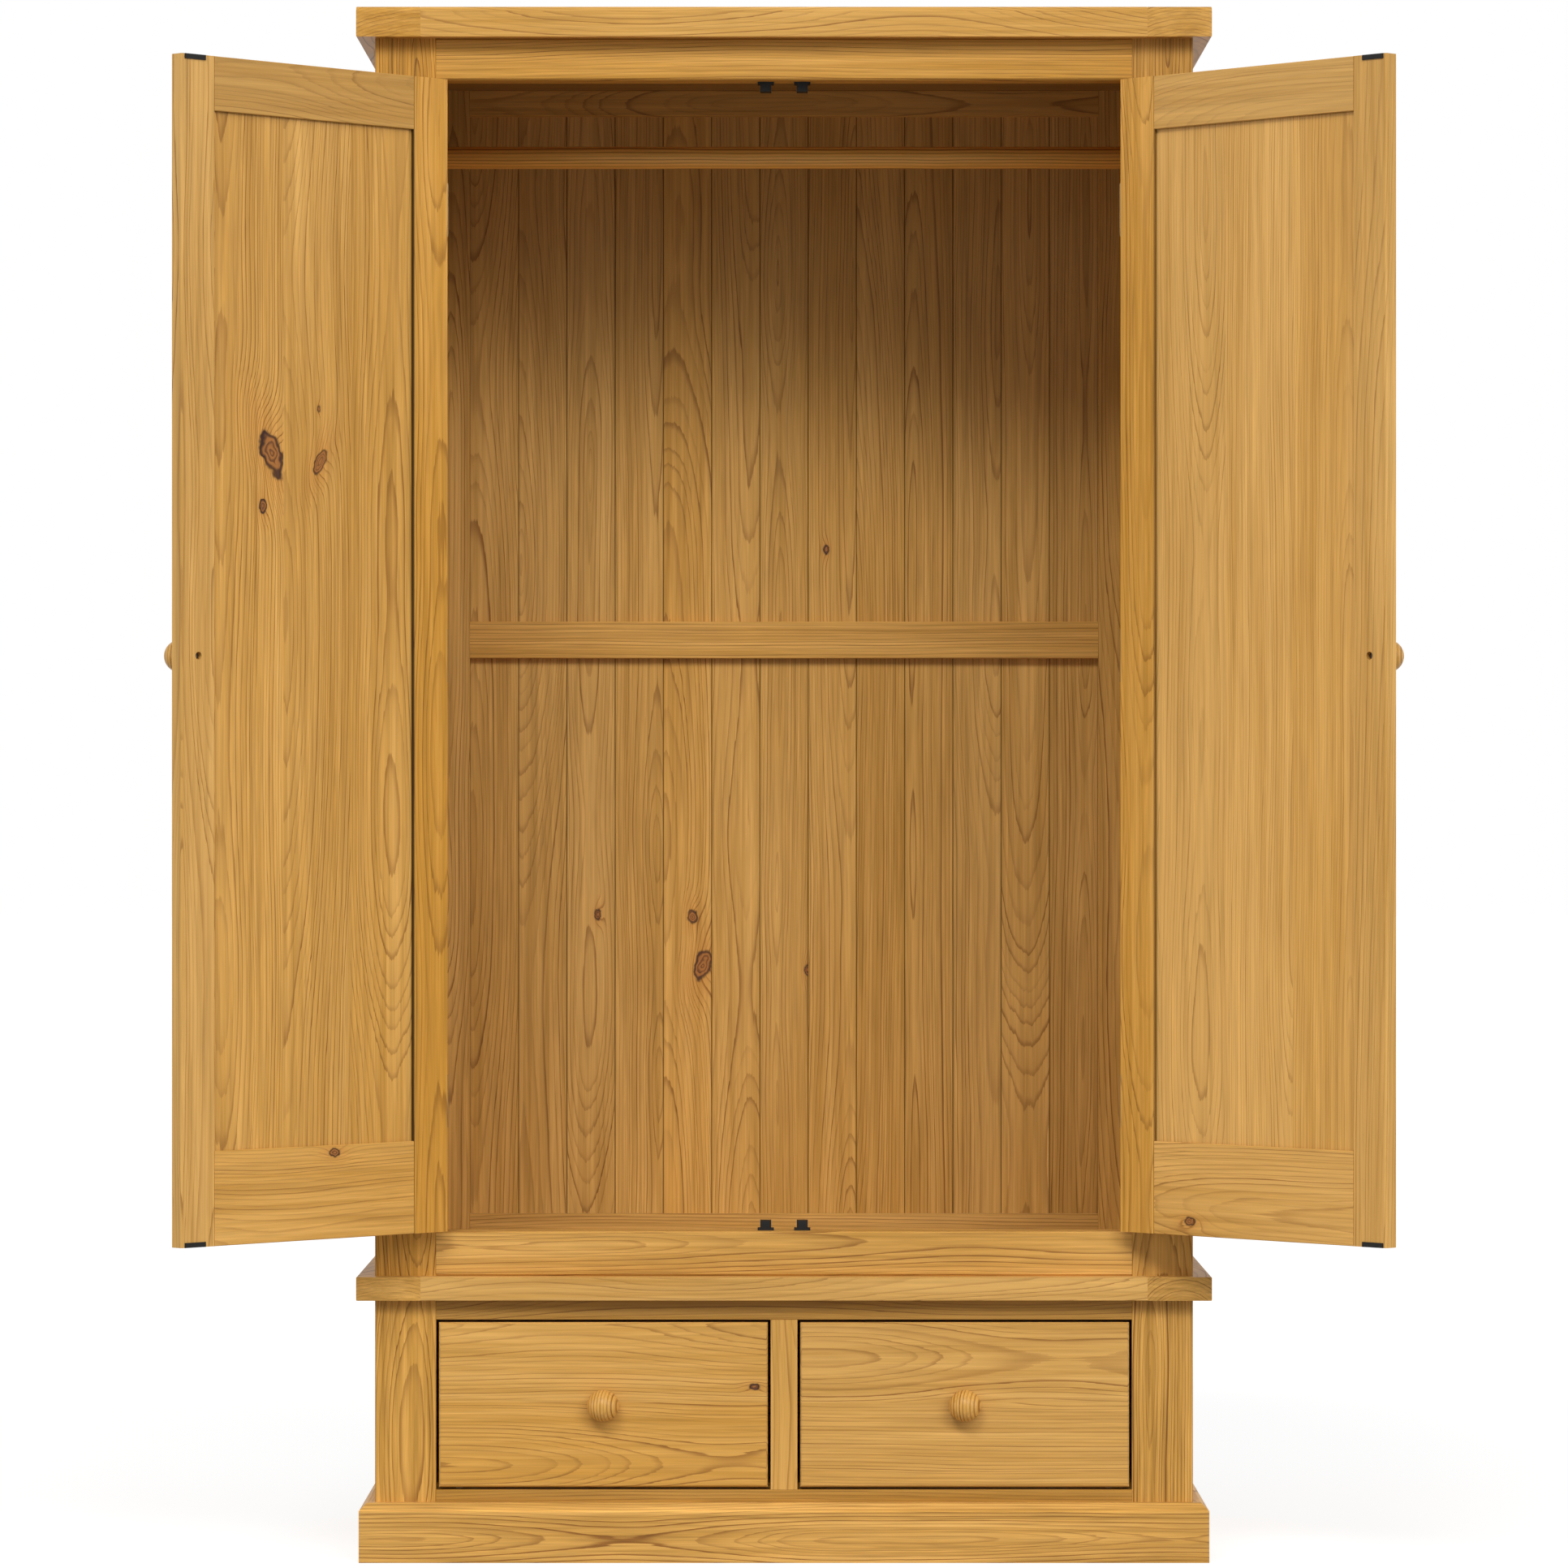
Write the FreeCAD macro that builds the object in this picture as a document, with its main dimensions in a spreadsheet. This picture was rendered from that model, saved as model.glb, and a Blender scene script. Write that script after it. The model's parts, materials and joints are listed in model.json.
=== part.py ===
import FreeCAD, Part
import os
import re

# A pine wardrobe: a base with two drawers, a cupboard with a hanging rail above it, and two panelled
# doors on butt hinges. Millimetres. +Z is up, -Y is the front, X = 0 is the middle of the width and
# Y = 0 the middle of the carcass's depth. The floor is Z = 0. The doors are stored standing open.

doc = FreeCAD.newDocument("wardrobe")
sheet = doc.addObject("Spreadsheet::Sheet", "sizes")

SIZES = {
    # overall
    "carcass_width": 1006,
    "carcass_depth": 535,
    "total_height": 1910,
    # boards of the carcass
    "stile_width": 75,
    "frame_thick": 22,
    "rail_depth": 45,
    "side_thick": 18,
    "top_rail_height": 51,
    "bottom_rail_height": 54.5,
    "fine_ease": 0.8,
    "board_ease": 2,
    # cornice and waist, each a flat square of boards with a lip over the carcass
    "cornice_thick": 37,
    "cornice_board": 79,
    "cornice_lip": 22,
    "cornice_chamfer": 5.5,
    "top_panel_thick": 12,
    "waist_height": 351,
    "waist_thick": 29,
    "waist_board": 79,
    "waist_lip": 22,
    "floor_thick": 18,
    "floor_rebate": 8,
    # base
    "plinth_height": 73,
    "plinth_thick": 19,
    "plinth_chamfer": 9.5,
    "base_top_rail_height": 25,
    "base_bottom_rail_height": 48,
    "drawer_sill": 88,
    "divider_width": 33,
    "partition_thick": 18,
    "base_back_thick": 9,
    # back of the cupboard
    "back_inset": 8,
    "back_frame_thick": 22,
    "back_stile_width": 75,
    "back_top_rail_height": 33.5,
    "back_mid_rail_height": 48,
    "back_mid_rail_level": 1120,
    "back_bottom_rail_height": 44,
    "back_board_thick": 10,
    "back_board_count": 13,
    "back_rebate": 8,
    "back_tongue": 7,
    "back_tongue_thick": 3,
    "tongue_play": 0.3,
    # hanging rail
    "rail_radius": 14,
    "rail_drop": 110,
    "rail_play": 0.2,
    "rail_end_play": 1,
    "socket_radius": 23,
    "socket_depth": 15,
    "socket_floor": 4,
    # doors
    "door_thick": 20,
    "door_gap": 1.5,
    "door_open_angle": 135,
    "hinge_stile_width": 57,
    "meeting_stile_width": 51,
    "door_top_rail": 65,
    "door_bottom_rail": 113,
    "panel_thick": 8,
    "panel_recess": 5,
    "panel_slack": 2.5,
    "panel_groove": 9,
    "panel_play": 0.5,
    # butt hinges
    "hinge_height": 65,
    "hinge_inset": 160,
    "hinge_proud": 3,
    "knuckle_radius": 2.75,
    "knuckle_gap": 0.3,
    "leaf_thick": 1.5,
    "leaf_width": 22,
    "leaf_half_gap": 0.25,
    "pin_radius": 1.25,
    "pin_clearance": 0.05,
    "pin_head_radius": 2.4,
    "pin_head_height": 1.5,
    "hinge_screw_spread": 44,
    "hinge_screw_set_back": 13,
    "hinge_screw_head": 3,
    "hinge_screw_shank": 1.4,
    "hinge_screw_length": 14,
    # magnetic catches and their plates
    "catch_from_middle": 22.5,
    "catch_width": 13.5,
    "catch_flange_width": 20,
    "catch_height": 12,
    "catch_flange_thick": 2.5,
    "catch_depth": 22,
    "catch_play": 0.3,
    "strike_length": 32,
    "strike_height": 6,
    "strike_thick": 1.2,
    "strike_from_edge": 4.5,
    # knobs
    "knob_radius": 19.5,
    "knob_length": 33,
    "knob_neck_radius": 10,
    "knob_cut_angle": 26,
    "knob_from_edge": 26,
    "knob_level": 1108,
    "knob_bore_radius": 4.75,
    "knob_bore_depth": 8,
    "knob_screw_head": 4.2,
    "knob_screw_head_height": 2.6,
    "knob_screw_shank": 2,
    "knob_screw_grip": 15,
    # drawers
    "drawer_front_thick": 20,
    "drawer_side_gap": 3.5,
    "drawer_top_gap": 3.2,
    "drawer_length": 450,
    "drawer_box_inset": 6.25,
    "drawer_box_lift": 3,
    "drawer_side_height": 160,
    "drawer_side_thick": 12,
    "drawer_bottom_thick": 6,
    "drawer_bottom_lift": 10,
    "drawer_groove": 5,
    "drawer_back_drop": 10,
    "drawer_play": 0.3,
    "runner_height": 24,
    "runner_lip": 2,
}

# Places worked out from the sizes above.
PLACES = {
    "half_width": "carcass_width / 2",
    "front": "-carcass_depth / 2",
    "back": "carcass_depth / 2",
    "opening": "half_width - stile_width",
    "inside": "half_width - side_thick",
    "cornice_level": "total_height - cornice_thick",
    "ceiling_level": "cornice_level - top_panel_thick",
    "waist_level": "waist_height - waist_thick",
    "door_sill": "waist_height + bottom_rail_height",
    "door_head": "cornice_level - top_rail_height",
    "drawer_head": "waist_level - base_top_rail_height",
    "back_plane": "back - back_inset - back_frame_thick",
    "board_plane": "back - back_inset - back_board_thick",
    "back_opening": "inside - back_stile_width",
    "board_top": "ceiling_level - back_top_rail_height + back_rebate",
    "board_foot": "waist_height + back_bottom_rail_height - back_rebate",
    "board_pitch": "2 * back_opening / back_board_count",
    "base_back_plane": "back - back_inset - base_back_thick",
    "waist_inner": "half_width + waist_lip - waist_board",
    "waist_inner_front": "front - waist_lip + waist_board",
    "cornice_inner": "half_width + cornice_lip - cornice_board",
    "rail_level": "ceiling_level - rail_drop",
    "axis_across": "opening - door_gap / 2",
    "axis_front": "front - hinge_proud",
    "door_edge": "door_gap / 2",
    "door_width": "opening - 2 * door_gap",
    "door_foot": "door_sill + door_gap",
    "door_height": "door_head - door_sill - 2 * door_gap",
    "door_back": "hinge_proud + door_thick",
    "door_inner_width": "door_width - hinge_stile_width - meeting_stile_width",
    "panel_front": "door_back - panel_recess - panel_thick",
    "groove_wide": "panel_thick + panel_slack",
    "knuckle": "(hinge_height - 2 * knuckle_gap) / 3",
    "knob_across": "door_edge + door_width - knob_from_edge",
    "drawer_centre": "(divider_width / 2 + opening) / 2",
    "drawer_width": "opening - divider_width / 2 - 2 * drawer_side_gap",
    "drawer_foot": "drawer_sill + drawer_top_gap",
    "drawer_height": "drawer_head - drawer_sill - 2 * drawer_top_gap",
    "box_width": "drawer_width - 2 * drawer_box_inset",
    "box_foot": "drawer_foot + drawer_play + drawer_box_lift",
    "bottom_level": "box_foot + drawer_bottom_lift",
    "box_front": "front + drawer_front_thick",
    "box_inner": "box_width / 2 - drawer_side_thick",
    "knob_seat": "knob_length - knob_radius",
}

SIDES = {"left": -1, "right": 1}
subparts = []


def fill_sheet():
    """Writes each size as a row: its name in column A, its number, which carries the alias, in B."""
    for row, (name, value) in enumerate(SIZES.items(), start=1):
        sheet.set(f"A{row}", name)
        sheet.set(f"B{row}", str(value))
        sheet.setAlias(f"B{row}", name)
    doc.recompute()


def formula(text):
    """An expression in which each size is read from the sheet and each place is written out in full."""

    def written_out(match):
        word = match.group(0)
        if word in PLACES:
            return "(" + formula(PLACES[word]) + ")"
        return "sizes." + word if word in SIZES else word

    return re.sub(r"[a-z_]+", written_out, str(text))


def span(sign, start, length):
    """Where a stretch from start to start + length begins on X, mirrored when sign is negative."""
    return f"{start}" if sign > 0 else f"-({start}) - ({length})"


def put(thing, at, turn=None):
    """Binds a placement: at is a point, turn an axis and an angle."""
    point = "; ".join(formula(value) for value in at)
    axis, angle = turn or ((0, 0, 1), 0)
    spin = f"rotation(vector({axis[0]}; {axis[1]}; {axis[2]}); {formula(angle)})"
    thing.setExpression("Placement", f"placement(vector({point}); {spin})")


# The turn that lays a feature drawn along Z along another way: an axis and an angle.
ALONG = {
    "x": ((0, 1, 0), 90),
    "-x": ((0, 1, 0), -90),
    "y": ((1, 0, 0), -90),
    "-y": ((1, 0, 0), 90),
    "z": None,
}


class Piece:
    """One solid: a body whose features are blocks and turned shapes, each bound to the sheet."""

    def __init__(self, label, at=(0, 0, 0), turn=None):
        self.body = doc.addObject("PartDesign::Body", label)
        self.body.Label = label
        put(self.body, at, turn)

    def feature(self, kind, at, turn, **sizes):
        made = self.body.newObject("PartDesign::" + kind, self.body.Name + "_" + kind)
        for name, value in sizes.items():
            made.setExpression(name, formula(value))
        put(made, at, turn)
        return self

    def block(self, at, size, kind="AdditiveBox"):
        return self.feature(kind, at, None, Length=size[0], Width=size[1], Height=size[2])

    def slot(self, at, size):
        return self.block(at, size, "SubtractiveBox")

    def rod(self, at, radius, height, way="z", kind="AdditiveCylinder"):
        return self.feature(kind, at, ALONG[way], Radius=radius, Height=height)

    def bore(self, at, radius, height, way="z"):
        return self.rod(at, radius, height, way, "SubtractiveCylinder")

    def taper(self, at, radii, height, way="z", kind="AdditiveCone"):
        return self.feature(kind, at, ALONG[way], Radius1=radii[0], Radius2=radii[1], Height=height)

    def sink(self, at, radii, height, way="z"):
        return self.taper(at, radii, height, way, "SubtractiveCone")

    def ease(self, size, chosen):
        """Chamfers the edges of the last feature whose middle and direction chosen accepts."""
        doc.recompute()
        last = self.body.Tip
        names = []
        for number, edge in enumerate(last.Shape.Edges, start=1):
            direction = edge.Vertexes[-1].Point - edge.Vertexes[0].Point
            middle = edge.CenterOfMass - last.Shape.BoundBox.Center
            if chosen(direction.normalize(), middle):
                names.append(f"Edge{number}")
        chamfer = self.body.newObject("PartDesign::Chamfer", self.body.Name + "_ease")
        chamfer.Base = (last, names)
        chamfer.setExpression("Size", formula(size))
        return self


def along(axis):
    """Accepts the edges that run along one axis, the long edges of a board."""
    return lambda direction, middle: abs(direction["xyz".index(axis)]) > 0.99


def keep(piece):
    """Counts a piece as a sub-part of its own."""
    subparts.append(piece.body)
    return piece


def group(label, pieces):
    """Counts several equal pieces as one sub-part of separate solids."""
    together = doc.addObject("Part::Compound", label)
    together.Label = label
    together.Links = [piece.body for piece in pieces]
    subparts.append(together)


def board(label, at, size, grain, ease="fine_ease", place=(0, 0, 0), turn=None):
    """A board with its four long edges eased."""
    return Piece(label, place, turn).block(at, size).ease(ease, along(grain))


def make_plinth():
    """A skirting round the base, with the top outer edge chamfered round both corners."""

    def front_top(direction, middle):
        return middle.z > 0 and (middle.y < 0 or abs(direction.y) > 0.99) and abs(direction.z) < 0.5

    width = "carcass_width + 2 * plinth_thick"
    at = ("-half_width - plinth_thick", "front - plinth_thick", 0)
    front = Piece("plinth_front").block(at, (width, "plinth_thick", "plinth_height"))
    keep(front.ease("plinth_chamfer", front_top))
    returns = []
    for side in SIDES.values():

        def outer_top(direction, middle, side=side):
            return middle.z > 0 and middle.x * side > 0 and abs(direction.y) > 0.99

        piece = Piece(f"plinth_return_{len(returns)}")
        at = (span(side, "half_width", "plinth_thick"), "front", 0)
        piece.block(at, ("plinth_thick", "carcass_depth", "plinth_height"))
        returns.append(piece.ease("plinth_chamfer", outer_top))
    group("plinth_returns", returns)


def make_base():
    """The drawer base: face frame, sides, back, the partition between the drawers and its runners."""
    stiles = []
    for side in SIDES.values():
        at = (span(side, "opening", "stile_width"), "front", 0)
        size = ("stile_width", "frame_thick", "waist_level")
        stiles.append(board(f"base_stile_{len(stiles)}", at, size, "z"))
    group("base_stiles", stiles)
    rail = "2 * opening"
    at = ("-opening", "front", "drawer_head")
    keep(board("base_top_rail", at, (rail, "frame_thick", "base_top_rail_height"), "x"))
    at = ("-opening", "front", "drawer_sill - base_bottom_rail_height")
    keep(board("base_bottom_rail", at, (rail, "frame_thick", "base_bottom_rail_height"), "x"))
    at = ("-divider_width / 2", "front", "drawer_sill")
    keep(board("drawer_divider", at, ("divider_width", "frame_thick", "drawer_head - drawer_sill"), "z"))
    depth = "carcass_depth - frame_thick"
    sides = []
    for side in SIDES.values():
        at = (span(side, "inside", "side_thick"), "front + frame_thick", 0)
        sides.append(board(f"base_side_{len(sides)}", at, ("side_thick", depth, "waist_level"), "y"))
    group("base_sides", sides)
    at = ("-inside", "base_back_plane", 0)
    keep(board("base_back", at, ("2 * inside", "base_back_thick", "waist_level"), "x"))
    reach = "base_back_plane - front - frame_thick"
    at = ("-partition_thick / 2", "front + frame_thick", 0)
    keep(board("drawer_partition", at, ("partition_thick", reach, "waist_level"), "y"))
    top = "box_foot - drawer_play - runner_height"
    outer_start = "drawer_centre + box_inner - runner_lip"
    inner_end = "drawer_centre - box_inner + runner_lip"
    outer = (outer_start, f"inside - ({outer_start})")
    inner = ("partition_thick / 2", f"{inner_end} - partition_thick / 2")
    runners = []
    for side in SIDES.values():
        for start, width in (outer, inner):
            at = (span(side, start, width), "front + frame_thick", top)
            runners.append(board(f"runner_{len(runners)}", at, (width, reach, "runner_height"), "y"))
    group("drawer_runners", runners)


def make_waist():
    """A flat square of boards between base and cupboard, rebated to carry the cupboard's floor."""
    lip_front = "front - waist_lip"
    floor_front = "waist_inner_front - floor_rebate"
    floor_level = "waist_height - floor_thick"
    front = board("waist_front", ("-waist_inner", lip_front, "waist_level"),
                  ("2 * waist_inner", "waist_board", "waist_thick"), "x")
    at = ("-waist_inner", floor_front, floor_level)
    keep(front.slot(at, ("2 * waist_inner", "floor_rebate", "floor_thick")))
    returns = []
    for side in SIDES.values():
        at = (span(side, "waist_inner", "waist_board"), lip_front, "waist_level")
        size = ("waist_board", "carcass_depth + waist_lip", "waist_thick")
        piece = board(f"waist_return_{len(returns)}", at, size, "y")
        at = (span(side, "waist_inner", "floor_rebate"), floor_front, floor_level)
        returns.append(piece.slot(at, ("floor_rebate", f"back_plane - ({floor_front})", "floor_thick")))
    group("waist_returns", returns)
    at = ("-waist_inner - floor_rebate", floor_front, floor_level)
    size = ("2 * (waist_inner + floor_rebate)", f"back_plane - ({floor_front})", "floor_thick")
    keep(Piece("compartment_floor").block(at, size))


def make_cornice():
    """The top: a flat square of thick boards, chamfered along the front, over a thin ceiling panel."""
    lip_front = "front - cornice_lip"

    def upper(direction, middle):
        return middle.z > 0 and abs(direction.x) > 0.99 and middle.y < 0

    at = ("-cornice_inner", lip_front, "cornice_level")
    front = Piece("cornice_front").block(at, ("2 * cornice_inner", "cornice_board", "cornice_thick"))
    keep(front.ease("cornice_chamfer", upper))
    returns = []
    for side in SIDES.values():
        at = (span(side, "cornice_inner", "cornice_board"), lip_front, "cornice_level")
        size = ("cornice_board", "carcass_depth + cornice_lip", "cornice_thick")
        piece = board(f"cornice_return_{len(returns)}", at, size, "y")
        returns.append(piece.ease("cornice_chamfer", upper))
    group("cornice_returns", returns)
    size = ("2 * inside", "carcass_depth - rail_depth - back_inset", "top_panel_thick")
    keep(Piece("top_panel").block(("-inside", "front + rail_depth", "ceiling_level"), size))


def hinge_levels():
    """The foot of each of a door's three hinges."""
    low = "door_foot + hinge_inset - hinge_height / 2"
    high = "door_foot + door_height - hinge_inset - hinge_height / 2"
    return (low, f"(({low}) + ({high})) / 2", high)


def screw_levels(level):
    middle = f"{level} + hinge_height / 2"
    return (f"{middle} - hinge_screw_spread / 2", f"{middle} + hinge_screw_spread / 2")


def hinge_seats(piece, sign, edge, front):
    """Cuts the three leaf seats and the screws' pilot holes into a board's edge at X = edge."""
    depth = "leaf_half_gap + leaf_thick - door_gap / 2"
    way = "x" if sign > 0 else "-x"
    for level in hinge_levels():
        at = (span(sign, edge, depth), front, level)
        piece.slot(at, (depth, "leaf_width - hinge_proud", "hinge_height"))
        for height in screw_levels(level):
            start = span(sign, f"{edge} + {depth}", 0)
            at = (start, f"{front} + hinge_screw_set_back - hinge_proud", height)
            piece.bore(at, "hinge_screw_shank", "hinge_screw_length", way)


def make_cupboard():
    """The cupboard's face frame and sides. The stiles are seated for the hinges."""
    height = "cornice_level - waist_height"
    for name, side in SIDES.items():
        at = (span(side, "opening", "stile_width"), "front", "waist_height")
        stile = board(f"{name}_stile", at, ("stile_width", "frame_thick", height), "z", "fine_ease")
        hinge_seats(stile, side, "opening", "front")
        keep(stile)
    at = ("-opening", "front", "door_head")
    keep(board("top_rail", at, ("2 * opening", "rail_depth", "top_rail_height"), "x", "board_ease"))
    at = ("-opening", "front", "waist_height")
    keep(board("bottom_rail", at, ("2 * opening", "rail_depth", "bottom_rail_height"), "x", "board_ease"))
    sides = []
    for side in SIDES.values():
        at = (span(side, "inside", "side_thick"), "front + frame_thick", "waist_height")
        size = ("side_thick", "carcass_depth - frame_thick", height)
        sides.append(board(f"side_panel_{len(sides)}", at, size, "z"))
    group("side_panels", sides)


def make_back():
    """A frame with a rebate behind, filled by tongued boards, and a middle rail across their front. It
    stands on a sill that closes the waist behind the cupboard's floor."""
    height = "ceiling_level - waist_height"
    boards_high = "board_top - board_foot"
    stiles = []
    for side in SIDES.values():
        at = (span(side, "back_opening", "back_stile_width"), "back_plane", "waist_height")
        size = ("back_stile_width", "back_frame_thick", height)
        piece = board(f"back_stile_{len(stiles)}", at, size, "z")
        at = (span(side, "back_opening", "back_rebate"), "board_plane", "board_foot")
        stiles.append(piece.slot(at, ("back_rebate", "back_board_thick", boards_high)))
    group("back_stiles", stiles)
    length = "2 * back_opening"
    rebate = (length, "back_board_thick", "back_rebate")
    top = board("back_rail_top", ("-back_opening", "back_plane", "ceiling_level - back_top_rail_height"),
                (length, "back_frame_thick", "back_top_rail_height"), "x")
    top.slot(("-back_opening", "board_plane", "board_top - back_rebate"), rebate)
    foot = board("back_rail_foot", ("-back_opening", "back_plane", "waist_height"),
                 (length, "back_frame_thick", "back_bottom_rail_height"), "x")
    foot.slot(("-back_opening", "board_plane", "board_foot"), rebate)
    size = (length, "back_frame_thick - back_board_thick", "back_mid_rail_height")
    middle = board("back_rail_middle", ("-back_opening", "back_plane", "back_mid_rail_level"), size, "x")
    sill = board("back_rail_sill", ("-waist_inner", "back_plane", "waist_level"),
                 ("2 * waist_inner", "back_frame_thick", "waist_thick"), "x")
    group("back_rails", [top, middle, foot, sill])
    boards = []
    count = SIZES["back_board_count"]
    tongue_plane = "board_plane + (back_board_thick - back_tongue_thick) / 2"
    for number in range(count):
        left_end = "back_rebate" if number == 0 else "0"
        right_end = "back_rebate" if number == count - 1 else "0"
        start = f"-back_opening + {number} * board_pitch"
        at = (f"{start} - {left_end}", "board_plane", "board_foot")
        width = f"board_pitch + {left_end} + {right_end}"
        piece = board(f"back_board_{number}", at, (width, "back_board_thick", boards_high), "z")
        if number > 0:
            at = (start, f"{tongue_plane} - tongue_play", "board_foot")
            groove_wide = "back_tongue_thick + 2 * tongue_play"
            piece.slot(at, ("back_tongue + tongue_play", groove_wide, boards_high))
        if number < count - 1:
            at = (f"{start} + board_pitch", tongue_plane, "board_foot")
            piece.block(at, ("back_tongue", "back_tongue_thick", boards_high))
        boards.append(piece)
    group("back_boards", boards)


def make_hanging_rail():
    """A round rail across the cupboard, carried in a turned socket on each side."""
    length = "2 * (inside - socket_floor - rail_end_play)"
    rail = Piece("hanging_rail")
    keep(rail.rod(("-inside + socket_floor + rail_end_play", 0, "rail_level"), "rail_radius", length, "x"))
    sockets = []
    for side in SIDES.values():
        piece = Piece(f"rail_socket_{len(sockets)}")
        start = span(side, "inside - socket_depth", "socket_depth")
        piece.rod((start, 0, "rail_level"), "socket_radius", "socket_depth", "x")
        start = span(side, "inside - socket_depth", "socket_depth - socket_floor")
        piece.bore((start, 0, "rail_level"), "rail_radius + rail_play", "socket_depth - socket_floor", "x")
        sockets.append(piece)
    group("rail_sockets", sockets)


def make_catches():
    """Four magnetic catches, flanged to the rails above and below the doors and just behind them."""
    catches = []
    front = "front + door_thick + strike_thick + catch_play"
    for side in SIDES.values():
        middle = f"{side} * catch_from_middle"
        for level, flange in (("door_head - catch_height", "door_head - catch_flange_thick"),
                              ("door_sill", "door_sill")):
            piece = Piece(f"catch_{len(catches)}")
            at = (f"{middle} - catch_width / 2", front, level)
            piece.block(at, ("catch_width", "catch_depth", "catch_height"))
            at = (f"{middle} - catch_flange_width / 2", front, flange)
            catches.append(piece.block(at, ("catch_flange_width", "catch_depth", "catch_flange_thick")))
    group("magnetic_catches", catches)


def hinge_leaf(label, place, turn, sign, knuckles):
    """A leaf with its knuckles on the hinge's axis, bored for the pin and countersunk for two screws."""
    leaf = Piece(label, place, turn)
    across = span(sign, "leaf_half_gap", "leaf_thick")
    inner = "knuckle_radius + knuckle_gap"
    leaf.block((across, inner, 0), ("leaf_thick", f"leaf_width - ({inner})", "hinge_height"))
    for number in knuckles:
        level = f"{number} * (knuckle + knuckle_gap)"
        leaf.block((across, 0, level), ("leaf_thick", inner, "knuckle"))
        leaf.rod((0, 0, level), "knuckle_radius", "knuckle")
    leaf.bore((0, 0, 0), "pin_radius + pin_clearance", "hinge_height")
    way = "x" if sign > 0 else "-x"
    for level in screw_levels("0"):
        at = (span(sign, "leaf_half_gap", 0), "hinge_screw_set_back", level)
        leaf.sink(at, ("hinge_screw_head", "hinge_screw_shank"), "leaf_thick", way)
    return leaf


def hinge_screws(label, place, turn, sign):
    """The two countersunk screws of a leaf."""
    screws = []
    way = "x" if sign > 0 else "-x"
    for number, level in enumerate(screw_levels("0")):
        screw = Piece(f"{label}_{number}", place, turn)
        at = (span(sign, "leaf_half_gap", 0), "hinge_screw_set_back", level)
        screw.taper(at, ("hinge_screw_head", "hinge_screw_shank"), "leaf_thick", way)
        at = (span(sign, "leaf_half_gap + leaf_thick", 0), "hinge_screw_set_back", level)
        screws.append(screw.rod(at, "hinge_screw_shank", "hinge_screw_length", way))
    return screws


def make_frame_hinges():
    """The hinge leaves on the cupboard's stiles, their pins and their screws."""
    leaves, pins, screws = [], [], []
    for side in SIDES.values():
        for level in hinge_levels():
            place = (f"{side} * axis_across", "axis_front", level)
            number = len(leaves)
            leaves.append(hinge_leaf(f"frame_leaf_{number}", place, None, side, (0, 2)))
            screws += hinge_screws(f"frame_screw_{number}", place, None, side)
            pin = Piece(f"pin_{number}", place).rod((0, 0, 0), "pin_radius", "hinge_height")
            pins.append(pin.rod((0, 0, "hinge_height"), "pin_head_radius", "pin_head_height"))
    group("hinge_frame_leaves", leaves)
    group("hinge_pins", pins)
    group("hinge_frame_screws", screws)


def knob(label, place, turn, spot):
    """A turned knob standing on spot along -Y: a neck, and a ball cut flat behind, bored for its screw."""
    across, face, level = spot
    piece = Piece(label, place, turn).rod(spot, "knob_neck_radius", "knob_seat", "-y")
    sizes = {"Radius": "knob_radius", "Angle1": "-knob_cut_angle", "Angle2": "90"}
    piece.feature("AdditiveSphere", (across, f"{face} - knob_seat", level), ALONG["-y"], **sizes)
    return piece.bore(spot, "knob_screw_shank", "knob_screw_grip", "-y")


def knob_screw(label, place, turn, spot, thick, bore_depth):
    """The screw that holds a knob from behind a board of this thickness, its head at bore_depth."""
    across, face, level = spot
    head = (across, f"{face} + {thick} - {bore_depth}", level)
    screw = Piece(label, place, turn).rod(head, "knob_screw_head", "knob_screw_head_height", "y")
    return screw.rod(head, "knob_screw_shank", f"{thick} - {bore_depth} + knob_screw_grip", "-y")


def knob_bores(piece, spot, thick, bore_depth):
    """Bores a board for a knob's screw, with a counterbore for its head from behind."""
    across, face, level = spot
    piece.bore(spot, "knob_screw_shank", thick, "y")
    at = (across, f"{face} + {thick} - {bore_depth}", level)
    return piece.bore(at, "knob_bore_radius", bore_depth, "y")


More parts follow.
